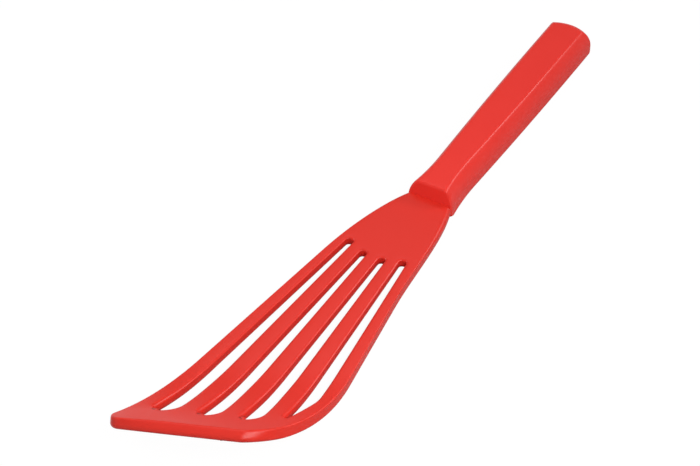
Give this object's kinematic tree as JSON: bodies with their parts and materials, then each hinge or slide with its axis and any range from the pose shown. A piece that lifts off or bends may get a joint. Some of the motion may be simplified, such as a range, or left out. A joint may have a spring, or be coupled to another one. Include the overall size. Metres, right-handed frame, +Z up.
{
  "type": "slotted fish spatula",
  "caption": "Red slotted turner: a flexible fanned blade with a slanted, curled front edge, moulded over spring steel and set in a separate flat-topped handle.",
  "frame": {"origin": "middle of the handle's flat underside, on the surface that the tool lies on", "axes": "+X from the handle's butt to the blade's front edge, +Y to the blade's rounded front corner, +Z up"},
  "size_m": [0.3138, 0.0627, 0.0171],
  "materials": {
    "red_blade": "satin moulded elastomer",
    "red_handle": "satin moulded elastomer",
    "spring_steel": "brushed",
    "core_plastic": "matte"
  },
  "bodies": {
    "root": {"blade_cover": "red_blade", "handle_cover": "red_handle", "blade_insert": "spring_steel", "handle_core": "core_plastic"}
  },
  "joints": []
}
